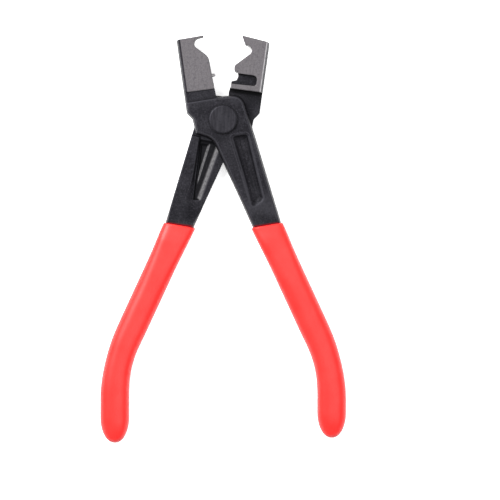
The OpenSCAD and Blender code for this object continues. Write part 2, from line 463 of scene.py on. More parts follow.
@dataclass(frozen=True)
class LeverSteel(Finish):
    """Forged steel under a blue-black oxide, bright where the jaw is ground; painted highlights on lines
    and trough walls, painted shade in corners and recesses.
    """

    name: str = "lever_steel"
    oxide: tuple = (0.009, 0.0086, 0.011, 1)
    oxide_worn: tuple = (0.033, 0.032, 0.038, 1)
    # Dark oxide for the random specks, also the colour of the painted shade in corners and recesses.
    dark_oxide_and_shade: tuple = (0.002, 0.002, 0.0025, 1)
    ground: tuple = (0.073, 0.067, 0.072, 1)
    ground_light: tuple = (0.108, 0.101, 0.107, 1)
    # Colour of the painted highlights along the jaw's flank and on the trough walls.
    bright: tuple = (0.36, 0.35, 0.36, 1)
    film: tuple = (0.09, 0.002, 0.004, 1)
    grind_turn: float = 8.0

    def material(self) -> bpy.types.Material:
        """Returns the finished material."""
        wires, shader, material = self.start(Metallic=0.5, IOR=1.25, Specular_IOR_Level=0.3)
        place = self.coordinates(wires)
        painted_highlight, bend, ground, painted_shade, film = (
            wires.attribute(name) for name in ("painted_highlight", "bend", "ground", "painted_shade", "film")
        )
        cloud = wires.noise(place, 0.12, 3)
        mottle = wires.noise(place, 0.9, 4)
        grain = wires.noise(place, 1.7, 4)
        frayed = wires.math("MULTIPLY_ADD", wires.math("SUBTRACT", mottle, 0.5), 0.9, bend)
        worn = wires.ramp(frayed, 0.35, 1.3, 0.0, 0.6)
        # Painted shade: darker oxide colour in concave corners, where the bend is negative.
        deep_and_shade = wires.ramp(bend, -0.15, -0.9, 0.0, 0.45)
        base = wires.blend(wires.ramp(cloud, 0.35, 0.7, 0.0, 0.28), self.oxide, self.oxide_worn)
        base = wires.blend(wires.ramp(grain, 0.5, 0.72, 0.0, 0.75), base, self.dark_oxide_and_shade)
        base = wires.blend(wires.ramp(grain, 0.46, 0.28, 0.0, 0.7), base, self.oxide_worn)
        base = wires.blend(worn, base, self.oxide_worn)
        base = wires.blend(deep_and_shade, base, self.dark_oxide_and_shade)
        lines = self._grinding(wires, place)
        bright = wires.blend(wires.ramp(lines, 0.2, 0.8, 0.0, 0.5), self.ground, self.ground_light)
        bright = wires.blend(wires.ramp(grain, 0.4, 0.65, 0.0, 0.6), bright, self.ground_light)
        bright = wires.blend(wires.ramp(mottle, 0.5, 0.75, 0.0, 0.35), bright, self.oxide_worn)
        edge = wires.ramp(wires.math("MULTIPLY_ADD", mottle, 0.15, ground), 0.5, 0.65, 0.0, 1.0)
        # Painted shade: darkens recesses, troughs and the lap under the other lever towards the darkest
        # oxide.
        base = wires.blend(film, wires.blend(painted_shade, base, self.dark_oxide_and_shade), self.film)
        # Painted highlight: lightens the flank line and the trough walls towards the bright colour, patchy
        # with the mottle.
        patchy = wires.math("MULTIPLY", painted_highlight, wires.ramp(mottle, 0.3, 0.6, 0.6, 1.15))
        coloured = wires.blend(patchy, wires.blend(edge, base, bright), self.bright)
        wires.feed(shader.inputs["Base Color"], coloured)
        rough = wires.math("MULTIPLY_ADD", mottle, 0.16, 0.44)
        wires.feed(shader.inputs["Roughness"], wires.math("MULTIPLY_ADD", edge, -0.1, rough))
        texture = wires.blend(edge, grain, lines)
        height = wires.add("ShaderNodeSeparateColor", {0: texture}).outputs[0]
        wires.feed(shader.inputs["Normal"], wires.bump(height, 0.4, 0.06))
        return material

    def _grinding(self, wires: Wires, place: bpy.types.NodeSocket) -> bpy.types.NodeSocket:
        """Makes fine straight lines along the jaws.

        Args:
            wires: the tree's wires.
            place: the Object coordinates.

        Returns:
            The lines, from 0 to 1.
        """
        turn = (0, 0, math.radians(self.grind_turn))
        turned = wires.add("ShaderNodeMapping", {"Vector": place, "Rotation": turn})
        return wires.noise(turned.outputs[0], 3.5, 2, (1, 0.05, 1))


@dataclass(frozen=True)
class RivetSteel(Finish):
    """A blackened rivet whose flat head is faintly brushed."""

    name: str = "rivet_steel"
    face: tuple = (0.013, 0.0125, 0.0155, 1)
    light: tuple = (0.027, 0.026, 0.031, 1)
    dark: tuple = (0.005, 0.005, 0.0065, 1)

    def material(self) -> bpy.types.Material:
        """Returns the finished material."""
        wires, shader, material = self.start(Metallic=0.5, IOR=1.25, Specular_IOR_Level=0.3)
        place = self.coordinates(wires)
        streaks = wires.noise(place, 2.4, 3, (1, 0.06, 1))
        mottle = wires.noise(place, 1.1, 4)
        base = wires.blend(wires.ramp(streaks, 0.35, 0.7, 0.0, 0.8), self.face, self.light)
        base = wires.blend(wires.ramp(mottle, 0.5, 0.78, 0.0, 0.6), base, self.dark)
        wires.feed(shader.inputs["Base Color"], base)
        wires.feed(shader.inputs["Roughness"], wires.math("MULTIPLY_ADD", mottle, 0.2, 0.36))
        height = wires.math("ADD", streaks, wires.math("MULTIPLY", mottle, 0.5))
        wires.feed(shader.inputs["Normal"], wires.bump(height, 0.35, 0.05))
        return material


@dataclass(frozen=True)
class PinSteel(Finish):
    """Bare hardened steel with faint turning marks."""

    name: str = "pin_steel"
    plain: tuple = (0.4, 0.39, 0.4, 1)
    dark: tuple = (0.26, 0.25, 0.26, 1)

    def material(self) -> bpy.types.Material:
        """Returns the finished material."""
        wires, shader, material = self.start(Metallic=0.6)
        mottle = wires.noise(self.coordinates(wires), 2.5, 3)
        wires.feed(shader.inputs["Base Color"], wires.blend(mottle, self.plain, self.dark))
        wires.feed(shader.inputs["Roughness"], wires.math("MULTIPLY_ADD", mottle, 0.2, 0.25))
        return material


@dataclass(frozen=True)
class DippedVinyl(Finish):
    """Soft, glossy red vinyl with the slow waves that dipping leaves, painted shade along its flanks and a
    painted highlight on the lip.
    """

    name: str = "red_vinyl"
    red: tuple = (0.8, 0.017, 0.014, 1)
    # Deep red for specks and the lip's turned-in edge, also the painted shade on the flanks.
    deep_and_shade: tuple = (0.26, 0.004, 0.005, 1)
    # Colour of the painted highlight on the lip's rolled edge.
    rim: tuple = (0.95, 0.2, 0.18, 1)
    pale: tuple = (0.86, 0.03, 0.026, 1)
    # Middle height and reach of the painted shade on the flanks.
    mid_z: float = 5.85
    flank_h: float = 4.4

    def material(self) -> bpy.types.Material:
        """Returns the finished material."""
        wires, shader, material = self.start(
            IOR=1.45, Subsurface_Weight=0.05, Subsurface_Scale=0.001, Specular_IOR_Level=0.3,
            Coat_Weight=0.05, Coat_Roughness=0.2,
        )
        place = self.coordinates(wires)
        thin = wires.attribute("lip")
        wave = wires.noise(place, 0.11, 2)
        speck = wires.noise(place, 1.6, 3)
        base = wires.blend(wires.ramp(wave, 0.3, 0.7, 0.0, 0.45), self.red, self.pale)
        base = wires.blend(wires.ramp(speck, 0.56, 0.8, 0.0, 0.3), base, self.deep_and_shade)
        level = wires.math("SUBTRACT", self._height(wires, place), self.mid_z * MM)
        off_mid = wires.math("ABSOLUTE", level)
        # Painted shade: deeper red on the flanks, near the grip's middle height.
        base = wires.blend(wires.ramp(off_mid, self.flank_h * MM, 0.0, 0.0, 0.9), base, self.deep_and_shade)
        # Painted highlight: a paler band round the lip's rolled edge.
        rising, falling = wires.ramp(thin, 0.08, 0.3, 0.0, 0.7), wires.ramp(thin, 0.55, 0.45, 0.0, 1.0)
        base = wires.blend(wires.math("MULTIPLY", rising, falling), base, self.rim)
        base = wires.blend(wires.ramp(thin, 0.45, 0.7, 0.0, 1.0), base, self.deep_and_shade)
        wires.feed(shader.inputs["Base Color"], base)
        wires.feed(shader.inputs["Roughness"], wires.math("MULTIPLY_ADD", speck, 0.12, 0.36))
        height = wires.math("MULTIPLY_ADD", wave, 1.0, wires.math("MULTIPLY", speck, 0.05))
        wires.feed(shader.inputs["Normal"], wires.bump(height, 0.3, 0.4))
        return material

    def _height(self, wires: Wires, place: bpy.types.NodeSocket) -> bpy.types.NodeSocket:
        """Returns the height part of the coordinates."""
        return wires.add("ShaderNodeSeparateXYZ", {0: place}).outputs[2]


@dataclass(frozen=True)
class StudioPaper(Finish):
    """Matt white backdrop paper on a light table."""

    name: str = "studio_paper"
    white: tuple = (0.93, 0.93, 0.93, 1)
    fibre: tuple = (0.9, 0.9, 0.9, 1)
    glow: float = 0.48

    def material(self) -> bpy.types.Material:
        """Returns the finished material."""
        wires, shader, material = self.start(
            Roughness=0.9, Emission_Strength=self.glow, Emission_Color=(1, 1, 1, 1)
        )
        fibres = wires.noise(self.coordinates(wires), 0.6, 3)
        wires.feed(shader.inputs["Base Color"], wires.blend(fibres, self.white, self.fibre))
        return material


# ---------------------------------------------------------------- pieces


def add_piece(
    name: str, points: np.ndarray, faces: Sequence, finish: bpy.types.Material
) -> bpy.types.Object:
    """Makes a smooth mesh object at the origin.

    Args:
        name: the piece's name.
        points: its points, in millimetres in the row's frame.
        faces: its faces, as lists of point numbers.
        finish: its material.

    Returns:
        The new object.
    """
    mesh = bpy.data.meshes.new(name)
    mesh.from_pydata((points * MM).tolist(), [], [list(map(int, f)) for f in faces])
    mesh.polygons.foreach_set("use_smooth", [True] * len(mesh.polygons))
    mesh.materials.append(finish)
    made = bpy.data.objects.new(name, mesh)
    bpy.context.scene.collection.objects.link(made)
    return made


def stand_for(piece: bpy.types.Object, node: str, body: str) -> None:
    """Puts a piece in a CAD node's place.

    Args:
        piece: the finished piece.
        node: the CAD node that it stands for.
        body: the CAD body that carries it.
    """
    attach(piece, body)
    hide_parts(node)
    log.info("%s stands for %s on %s: %d faces", piece.name, node, body, len(piece.data.polygons))


@dataclass(frozen=True)
class WearAndPaintedLight:
    """How far the grinding, the painted highlight lines and the painted shade in recesses reach, and how
    strong they are.

    A fade is a length over which a mark goes from nothing to full strength, and a share is a
    strength from 0 to 1.
    """

    skin: float = 0.3
    ground_fade: float = 0.6
    face_h: float = 0.5
    face_fade: float = 0.4
    # Painted highlight: the line along the jaw's flank and the band on the trough walls.
    line_in: float = 0.2
    line_w: float = 0.22
    highlight_w: float = 0.2
    highlight_from: float = 0.7
    highlight_fade: float = 0.4
    highlight_top: float = 0.2
    highlight_top_from: float = 1.2
    highlight_top_fade: float = 0.3
    lap_share: float = 0.24
    pocket_share: float = 0.4
    # Painted shade: inside the troughs, near the block's step and further along the lap.
    trough_share: float = 0.7
    trough_fade: float = 0.35
    near_l: float = 1.7
    near_fade: float = 0.6
    near_share: float = 0.9
    far_l: float = 8
    far_fade: float = 5
    far_share: float = 0.35
    recess_gap: float = 0.05
    recess_h: float = 0.6
    film_fade: float = 0.35


@dataclass
class Lever:
    """One forged lever, with its jaw, its lap, its handle and the tang inside the grip."""

    name: str
    node: str
    body: str
    side: Side
    jaw: Sequence[Corner]
    mid_z: float
    lap_t: float = 5.0
    half_gap: float = 0.05
    jaw_half_t: float = 4.6
    neck_half_t: float = 4.35
    handle_half_t: float = 4.2
    hole_r: float = 3.5
    draft: float = 9.0
    flash: float = 0.02
    flash_h: float = 0.35
    forged_r: float = 0.7
    cut_r: float = 0.3
    pad_r: float = 0.25
    fine_r: float = 0.2
    hole_rim_r: float = 0.15
    root_r: float = 0.1
    machined_r: float = 0.3
    handle_fall: tuple[float, float] = (35, 12)
    block: tuple[float, float] = (14.02, 7.4)
    boss: tuple[float, float] = (9.6, 9.0)
    boss_slope: tuple[float, float] = (0.82, 0.57)
    pocket_depth: float = 0.0
    shell: Sequence[Corner] = (
        (-22.0, 44.1, 0), (-1.2, 44.1, 0), (-2.4, 10.22, 0.6), (8.43, 11.6, 5.4), (25.85, -46.3, 0),
        (28.3, -53.4, 0), (15.62, -53.4, 0), (13.22, -47.9, 0), (-4.71, -8.75, 7), (-12.25, -6.4, 0.8),
        (-13.6, 0.1, 1.5), (-16.2, 2.75, 1.2),
    )
    outer_walls: Sequence[tuple[Place, Place, float]] = (
        ((3.3, -7.1), (12.7, -39.6), 51.0), ((12.7, -39.6), (18.3, -35.8), 45.0),
        ((18.3, -35.8), (10.9, -5.9), 37.0), ((10.9, -5.9), (3.3, -7.1), 40.0),
    )
    outer_depth: float = 1.75
    outer_r: float = 0.9
    outer_rim_r: float = 0.6
    lap_walls: Sequence[tuple[Place, Place, float]] = (
        ((13.3, -36.0), (10.0, -7.6), 8.0), ((2.0, -13.3), (10.3, -36.0), 55.0),
        ((0.0, -35.6), (13.0, -35.6), 40.0), ((13.0, -8.0), (0.0, -10.4), 40.0),
    )
    pocket_walls: Sequence[tuple[Place, Place, float]] = (
        ((12.0, -31.5), (9.8, -9.6), 12.0), ((5.3, -10.6), (12.0, -31.5), 30.0),
        ((13.0, -8.8), (0.0, -11.0), 40.0),
    )
    lap_depth: float = 0.9
    strip_h: float = 1.0
    strip_slope: float = 1.0
    strip_spread: float = 0.25
    strip_even_l: float = 24
    strip_from: float = 0.15
    rise_line: tuple[Place, Place] = ((8.0, -38.6), (22.0, -36.0))
    rise_l: float = 9.4
    rise_share: float = 0.8
    black_band: float = 1.7
    mouth_line: tuple[Place, Place] = ((13.1, -47.9), (26.2, -46.0))
    film_l: float = 0.9
    # Strength of the painted highlight line along the jaw's flank.
    painted_highlight: float = 0.0
    wear_and_light: WearAndPaintedLight = WearAndPaintedLight()
    bend_most: float = 2
    low_corner: Corner = (-21.5, -54.0, -5.6)
    high_corner: Corner = (29.5, 38.5, 5.6)
    far: float = 90.0
    far_end: float = -200.0
    jaw_top: float = 64.0
    strip_edge: Sequence[Corner] = (
        (40, 1, 0), (10, -7.45, 0.4), (12.75, -24.6, 8), (13.35, -36, 8), (13.35, -90, 0), (40, -90, 0),
    )
    pocket_edge: Sequence[Corner] = (
        (0, 16.25, 0), (-14.6, 14.75, 1.2), (-15.1, 19.2, 1.8), (-5, 20.6, 0),
    )
    outline: Outline = field(init=False)
    profile: Outline = field(init=False)
    strip: Outline = field(init=False)
    pocket: Outline = field(init=False)

    def __post_init__(self) -> None:
        """Works out the outlines from their corners, with the jaw's running on past the blank."""
        self.outline = Outline(self.shell)
        (ax, ay, _), (bx, by, _) = self.jaw[:2]
        far_y = ay - (by - ay) / (bx - ax) * (ax + self.far)
        right = [(self.far, self.jaw_top, 0), (self.far, self.far_end, 0)]
        left = [(-self.far, self.far_end, 0), (-self.far, far_y, 0)]
        self.profile = Outline([*self.jaw[1:], *right, *left])
        self.strip = Outline(self.strip_edge)
        self.pocket = Outline(self.pocket_edge)

    def reach(self, x: np.ndarray, y: np.ndarray, line: tuple[float, float]) -> np.ndarray:
        """Measures how far points are beyond a leaning line, towards the jaw.

        Args:
            x: points across the tool.
            y: points along the tool.
            line: the line's distance from the pivot, and its lean in degrees.

        Returns:
            The distance, positive beyond the line.
        """
        lean = math.radians(line[1])
        return y * math.cos(lean) - x * math.sin(lean) - line[0]

    def forging(self, x: np.ndarray, y: np.ndarray, z: np.ndarray) -> np.ndarray:
        """Shapes the blank as it leaves the dies: drafted flanks, boss, neck, pad and outer trough.

        Args:
            x: points across the tool.
            y: points along the tool.
            z: points through the tool.

        Returns:
            The signed distance, negative inside.
        """
        lean = math.radians(self.draft)
        flat = self.outline.distance(x, y)
        flash = self.flash * (1 - np.exp(-((z / self.flash_h) ** 2)))
        solid = (flat + flash + np.abs(z) * math.tan(lean)) * math.cos(lean)
        solid = round_max(solid, np.abs(z) - self.lap_t, self.forged_r)
        fall_l, fall_from = self.handle_fall
        fall = math.atan((self.lap_t - self.handle_half_t) / fall_l)
        slope = (z - self.lap_t) * math.cos(fall) - (y + fall_from) * math.sin(fall)
        solid = round_max(solid, slope, self.forged_r)
        pad = -self.reach(x, y, self.block)
        solid = carve(solid, round_max(pad, self.jaw_half_t - np.abs(z), self.root_r), self.pad_r)
        along, up = self.boss_slope
        front = -self.reach(x, y, self.boss) * along + (self.lap_t - np.abs(z)) * up
        neck = round_max(-pad, front, self.cut_r)
        solid = carve(solid, round_max(neck, self.neck_half_t - np.abs(z), self.cut_r), self.cut_r)
        rim = self.trough(self.outer_walls, self.outer_depth, x, y, z - self.lap_t, self.outer_r)
        return carve(solid, rim, self.outer_rim_r)

    def trough(
        self, walls: Sequence, depth: float, x: np.ndarray, y: np.ndarray, z: np.ndarray, r: float = 0.45
    ) -> np.ndarray:
        """Measures from a trough's space.

        Args:
            walls: its sloping sides, each a line and a tilt.
            depth: its depth below height 0.
            x: points across the tool.
            y: points along the tool.
            z: points through the tool, from the trough's rim.
            r: radius that rounds its corners.

        Returns:
            The signed distance, negative in the trough.
        """
        space = -z - depth
        for p, q, tilt in walls:
            space = round_max(space, left_of(p, q, x, y, z, tilt), r)
        return space

    def lap_side(self, x: np.ndarray, y: np.ndarray) -> np.ndarray:
        """Works out how high the lap side stands: the lap, its low strip and the rise to the handle.

        Args:
            x: points across the tool.
            y: points along the tool.

        Returns:
            The height above the lap's face.
        """
        slope = self.strip_slope + self.strip_spread * np.maximum(0, -y - self.strip_even_l)
        strip = self.strip_h * smooth(self.strip_from - self.strip.distance(x, y) / slope)
        rise = smooth(left_of(*self.rise_line, x, y, np.zeros(1)) / self.rise_l)
        return strip + (self.handle_half_t - self.half_gap - strip) * rise

    def machining(self, solid: np.ndarray, x: np.ndarray, y: np.ndarray, z: np.ndarray) -> np.ndarray:
        """Cuts the lap, its troughs, the rivet's hole, the latch pocket and the jaw's profile.

        Args:
            solid: signed distance to the forging.
            x: points across the tool.
            y: points along the tool.
            z: points through the tool.

        Returns:
            The signed distance to what is left.
        """
        above = -z - self.half_gap
        lap = self.rise_share * (self.lap_side(x, y) - above)
        solid = carve(solid, round_max(lap, self.reach(x, y, self.block), self.fine_r), self.cut_r)
        solid = carve(solid, self.trough(self.lap_walls, self.lap_depth, x, y, above), self.cut_r)
        narrow = self.trough(self.pocket_walls, 2 * self.lap_depth, x, y, above)
        solid = carve(solid, narrow, self.pad_r)
        solid = carve(solid, np.hypot(x, y) - self.hole_r + 0 * z, self.hole_rim_r)
        if self.pocket_depth:
            floor = z + self.jaw_half_t - self.pocket_depth
            latch = round_max(self.pocket.distance(x, y), floor, self.cut_r)
            solid = carve(solid, latch, self.fine_r)
        return round_max(solid, self.profile.distance(x, y) + 0 * z, self.machined_r)

    def shape(self, x: np.ndarray, y: np.ndarray, z: np.ndarray) -> np.ndarray:
        """Returns the finished lever's field."""
        return self.machining(self.forging(x, y, z), x, y, z)

    def marks(self, points: np.ndarray) -> dict[str, np.ndarray]:
        """Finds what the grinder touched, where highlight and shade are painted and where vinyl ran.

        Args:
            points: points on the lever, in the blank's frame.

        Returns:
            The point attributes: ground (over 0.5 on the jaw's flat faces and its cut profile), the painted
                highlight on bright lines, the painted shade in recesses and film (vinyl at the grip's
                mouth).
        """
        x, y, z = points.T
        wear_and_light = self.wear_and_light
        beyond = self.reach(x, y, self.block)
        inside = -self.outline.distance(x, y) - self.black_band
        face, cut = np.abs(z) - self.jaw_half_t, self.profile.distance(x, y)
        skin = np.maximum(face + wear_and_light.skin, cut + wear_and_light.skin)
        reached = np.minimum(np.minimum(beyond, inside), skin)
        # Painted highlight: a thin bright line just inside the jaw's flank, on its ground face.
        on_face = smooth((face + wear_and_light.face_h) / wear_and_light.face_fade)
        flank = np.exp(-((inside - wear_and_light.line_in) / wear_and_light.line_w) ** 2)
        line = self.painted_highlight * flank * on_face * (beyond > 0)
        # Painted shadow on the lap face near the block's step, where the other lever's jaw and boss shade
        # it, fading further along.
        near = smooth((beyond + wear_and_light.near_l) / wear_and_light.near_fade) * wear_and_light.near_share
        under = near + smooth((beyond + wear_and_light.far_l) / wear_and_light.far_fade) * wear_and_light.far_share
        on_lap = (beyond < wear_and_light.recess_gap) * (np.abs(z) < wear_and_light.recess_h)
        painted_shade = np.clip(under, 0, wear_and_light.near_share) * on_lap
        above = -z - self.half_gap
        # Each trough gets a painted highlight on its long wall and painted shade inside it.
        for walls, depth, share in (
            (self.lap_walls, self.lap_depth, wear_and_light.lap_share),
            (self.pocket_walls, 2 * self.lap_depth, wear_and_light.pocket_share),
        ):
            within = -self.trough(walls, depth, x, y, above)
            line = np.maximum(line, share * self.wall_highlight(walls[1], within, x, y, above))
            painted_shade = np.maximum(painted_shade, wear_and_light.trough_share * smooth(1 + within / wear_and_light.trough_fade))
        film = smooth(0.5 + (left_of(*self.mouth_line, x, y, 0 * x) + self.film_l) / wear_and_light.film_fade)
        ground = np.clip(0.5 + reached / wear_and_light.ground_fade, 0, 1)
        return {"ground": ground, "painted_highlight": line, "painted_shade": painted_shade, "film": film}

    def wall_highlight(
        self, wall: tuple[Place, Place, float], within: np.ndarray, x: np.ndarray, y: np.ndarray,
        above: np.ndarray,
    ) -> np.ndarray:
        """Finds the long sloping wall of a lap trough, where a highlight is painted.

        Args:
            wall: the long wall, as a line and a tilt.
            within: how far points are inside the trough.
            x: points across the tool.
            y: points along the tool.
            above: heights above the lap's face.

        Returns:
            1 on that wall, falling to 0 around it.
        """
        wear_and_light = self.wear_and_light
        p, q, tilt = wall
        off = np.abs(left_of(p, q, x, y, above, tilt))
        in_trough = smooth(wear_and_light.highlight_from + within / wear_and_light.highlight_fade)
        below_face = smooth(wear_and_light.highlight_top_from - (above + wear_and_light.highlight_top) / wear_and_light.highlight_top_fade)
        return np.exp(-((off / wear_and_light.highlight_w) ** 2)) * in_trough * below_face

    def placed(self, points: np.ndarray) -> np.ndarray:
        """Turns points or normals from the blank's frame into the row's, without lifting them."""
        s = self.side.value
        return points * np.array([s, 1, s])

    def build(self, sculptor: Sculptor, finish: bpy.types.Material) -> bpy.types.Object:
        """Makes the lever.

        Args:
            sculptor: what skins the field.
            finish: the lever's material.

        Returns:
            The finished piece.
        """
        points, quads, normals, bend = sculptor.mesh(self.shape, self.low_corner, self.high_corner)
        place = self.placed(points) + np.array([0, 0, self.mid_z])
        piece = add_piece(self.name, place, quads, finish)
        sharpness = np.clip(bend, -self.bend_most, self.bend_most)
        for label, values in {"bend": sharpness, **self.marks(points)}.items():
            layer = piece.data.attributes.new(label, "FLOAT", "POINT")
            layer.data.foreach_set("value", values.astype(np.float32))
        self.face_out(piece, self.placed(normals))
        stand_for(piece, self.node, self.body)
        return piece

    def face_out(self, piece: bpy.types.Object, normals: np.ndarray) -> None:
        """Turns the faces outwards and gives the mesh its true normals.

        Args:
            piece: the lever's mesh object.
            normals: the outward normal at each point.
        """
        mesh = piece.data
        first = mesh.polygons[len(mesh.polygons) // 2]
        if first.normal @ Vector(normals[first.vertices[0]].tolist()) < 0:
            mesh.flip_normals()
        mesh.normals_split_custom_set_from_vertices(normals.tolist())


@dataclass
class PivotRivet:
    """The rivet: a flat round head, a shank and a formed end, turned about the pivot axis."""

    top_z: float
    head_r: float = 6.55
    head_h: float = 1.2
    shank_r: float = 3.5
    tail_r: float = 5.3
    tail_h: float = 0.8
    rim_r: float = 1.1
    dish_h: float = 0.09
    hollow_h: float = 0.12
    turns: int = 160

    def section(self) -> list[Place]:
        """Returns the section as radii and heights, from the top of the axis to the bottom."""
        top = self.top_z
        rim = [
            (self.head_r - self.rim_r * (1 - math.sin(t)), top - self.rim_r * (1 - math.cos(t)))
            for t in np.linspace(0, math.pi / 2, 12)
        ]
        flat_r = self.head_r - self.rim_r
        dish = [
            (r, top - self.dish_h + self.dish_h * (r / flat_r) ** 6)
            for r in np.linspace(0, flat_r - 0.05, 14)
        ]
        under = [(self.head_r - 0.1, top - self.head_h), (self.shank_r, top - self.head_h)]
        tail = [
            (self.shank_r, self.tail_h), (self.tail_r - 0.1, self.tail_h), (self.tail_r, self.tail_h - 0.1),
            (self.tail_r - 0.05, 0.25), (self.tail_r - 0.35, 0.03), (self.tail_r - 0.7, 0.0),
            (self.tail_r - 2.4, 0.0), (self.tail_r - 3.0, self.hollow_h), (0.0, self.hollow_h * 1.6),
        ]
        return [*dish, *rim, *under, *tail]

    def build(self, finish: bpy.types.Material) -> bpy.types.Object:
        """Makes the rivet.

        Args:
            finish: its material.

        Returns:
            The finished piece.
        """
        section = self.section()
        inner = section[1:-1]
        angles = np.arange(self.turns) * 2 * math.pi / self.turns
        rings = [[(r * math.cos(t), r * math.sin(t), z) for t in angles] for r, z in inner]
        skin = (point for ring in rings for point in ring)
        points = [(0, 0, section[0][1]), *skin, (0, 0, section[-1][1])]
        faces: list[tuple[int, ...]] = []
        last = len(points) - 1
        start = 1 + (len(inner) - 1) * self.turns
        for k in range(self.turns):
            after = (k + 1) % self.turns
            faces.append((0, 1 + k, 1 + after))
            faces.append((last, start + after, start + k))
            for i in range(len(inner) - 1):
                a, b = 1 + i * self.turns, 1 + (i + 1) * self.turns
                faces.append((a + k, b + k, b + after, a + after))
        piece = add_piece("rivet", np.array(points), faces, finish)
        stand_for(piece, "pivot_rivet", "front_half")
        return piece


@dataclass
class ReleasePin:
    """The small pin pressed into the front jaw, with a rounded end."""

    mid_z: float
    foot: Place = (-4.93, 19.75)
    lean: float = 10.7
    radius: float = 0.75
    seat: float = 4.0
    reach: float = 1.5
    nose_l: float = 0.5
    nose_shares: tuple[float, float] = (0.45, 0.55)
    foot_share: float = 0.85
    chamfer: float = 0.2
    turns: int = 32

    def section(self) -> list[Place]:
        """Returns the section as distances from the foot and radii, from the hidden end outwards."""
        shoulder = self.reach - self.nose_l
        blunt, round_part = self.nose_shares
        nose = [
            (shoulder + self.nose_l * math.sin(t), self.radius * (blunt + round_part * math.cos(t)))
            for t in np.linspace(0, math.pi / 2, 9)[:-1]
        ]
        foot_r = self.radius * self.foot_share
        hidden = [(-self.seat, 0.0), (-self.seat, foot_r), (-self.seat + self.chamfer, self.radius)]
        return [*hidden, *nose, (self.reach, 0.0)]

    def build(self, finish: bpy.types.Material) -> bpy.types.Object:
        """Makes the pin.

        Args:
            finish: its material.

        Returns:
            The finished piece.
        """
        section = self.section()
        lean = math.radians(self.lean)
        ahead = np.array([math.cos(lean), math.sin(lean), 0])
        across = np.array([-math.sin(lean), math.cos(lean), 0])
        up = np.array([0, 0, 1.0])
        foot = np.array([*self.foot, self.mid_z])
        points, faces = [], []
        for s, r in section:
            for k in range(self.turns):
                t = 2 * math.pi * k / self.turns
                points.append(foot + ahead * s + across * r * math.cos(t) + up * r * math.sin(t))
        for i in range(len(section) - 1):
            for k in range(self.turns):
                a, b = i * self.turns, (i + 1) * self.turns
                after = (k + 1) % self.turns
                faces.append((a + k, a + after, b + after, b + k))
        piece = add_piece("release_pin_turned", np.array(points), faces, finish)
        close_mesh(piece)
        stand_for(piece, "release_pin", "front_half")
        return piece


def close_mesh(piece: bpy.types.Object) -> None:
    """Merges a mesh's doubled points and turns its faces outwards.

    Args:
        piece: the object whose mesh is closed.
    """
    work = bmesh.new()
    work.from_mesh(piece.data)
    bmesh.ops.remove_doubles(work, verts=work.verts, dist=SAME_POINT)
    bmesh.ops.dissolve_degenerate(work, edges=work.edges, dist=NO_LENGTH)
    bmesh.ops.recalc_face_normals(work, faces=work.faces)
    work.to_mesh(piece.data)
    work.free()


@dataclass
class Grip:
    """A dipped grip: a tube swept down the handle's path by a Geometry Nodes tree."""

    name: str
    node: str
    body: str
    side: Side
    mid_z: float
    end_y: float
    mouth: Place = (19.35, -46.8)
    heading: float = 24.8
    straight_l: float = 54.2
    bend_r: float = 65.0
    half_w: float = 6.4
    mouth_half_w: float = 6.88
    rings: int = 190
    segments: int = 72

    def path(self) -> list[Place]:
        """Returns points down the middle of the handle, on the front lever's side."""
        h = math.radians(self.heading)
        down = (math.sin(h), -math.cos(h))
        straight = [
            (self.mouth[0] + s * down[0], self.mouth[1] + s * down[1])
            for s in np.linspace(0, self.straight_l, 12)
        ]
        start = straight[-1]
        centre = (start[0] - self.bend_r * math.cos(h), start[1] - self.bend_r * math.sin(h))
        bend = [
            (centre[0] + self.bend_r * math.cos(t), centre[1] + self.bend_r * math.sin(t))
            for t in np.linspace(h, 0, 24)[1:]
        ]
        end = [(bend[-1][0], y) for y in np.linspace(bend[-1][1], self.end_y, 6)[1:]]
        return [*straight, *bend, *end]

    def build(self, finish: bpy.types.Material) -> bpy.types.Object:
        """Makes the grip.

        Args:
            finish: its material.

        Returns:
            The finished piece.
        """
        s = self.side.value
        line = bpy.data.curves.new(self.name + "_path", "CURVE")
        line.dimensions = "3D"
        spline = line.splines.new("POLY")
        path = self.path()
        spline.points.add(len(path) - 1)
        for point, (x, y) in zip(spline.points, path):
            point.co = (s * x * MM, y * MM, self.mid_z * MM, 1)
        guide = bpy.data.objects.new(self.name + "_path", line)
        bpy.context.scene.collection.objects.link(guide)
        tree = GripTree(self.rings, self.segments).tree(self.name + "_tree")
        values = {
            "Half Width": self.half_w * MM, "Mouth Half Width": self.mouth_half_w * MM,
            "Half Thickness": self.mid_z * MM, "Side": float(s), "Finish": finish,
        }
        modifier = guide.modifiers.new("sweep", "NODES")
        modifier.node_group = tree
        for item in tree.interface.items_tree:
            if item.name in values:
                modifier[item.identifier] = values[item.name]
        graph = bpy.context.evaluated_depsgraph_get()
        mesh = bpy.data.meshes.new_from_object(guide.evaluated_get(graph), depsgraph=graph)
        bpy.data.objects.remove(guide)
        piece = bpy.data.objects.new(self.name, mesh)
        bpy.context.scene.collection.objects.link(piece)
        close_mesh(piece)
        mesh.polygons.foreach_set("use_smooth", [True] * len(mesh.polygons))
        stand_for(piece, self.node, self.body)
        return piece


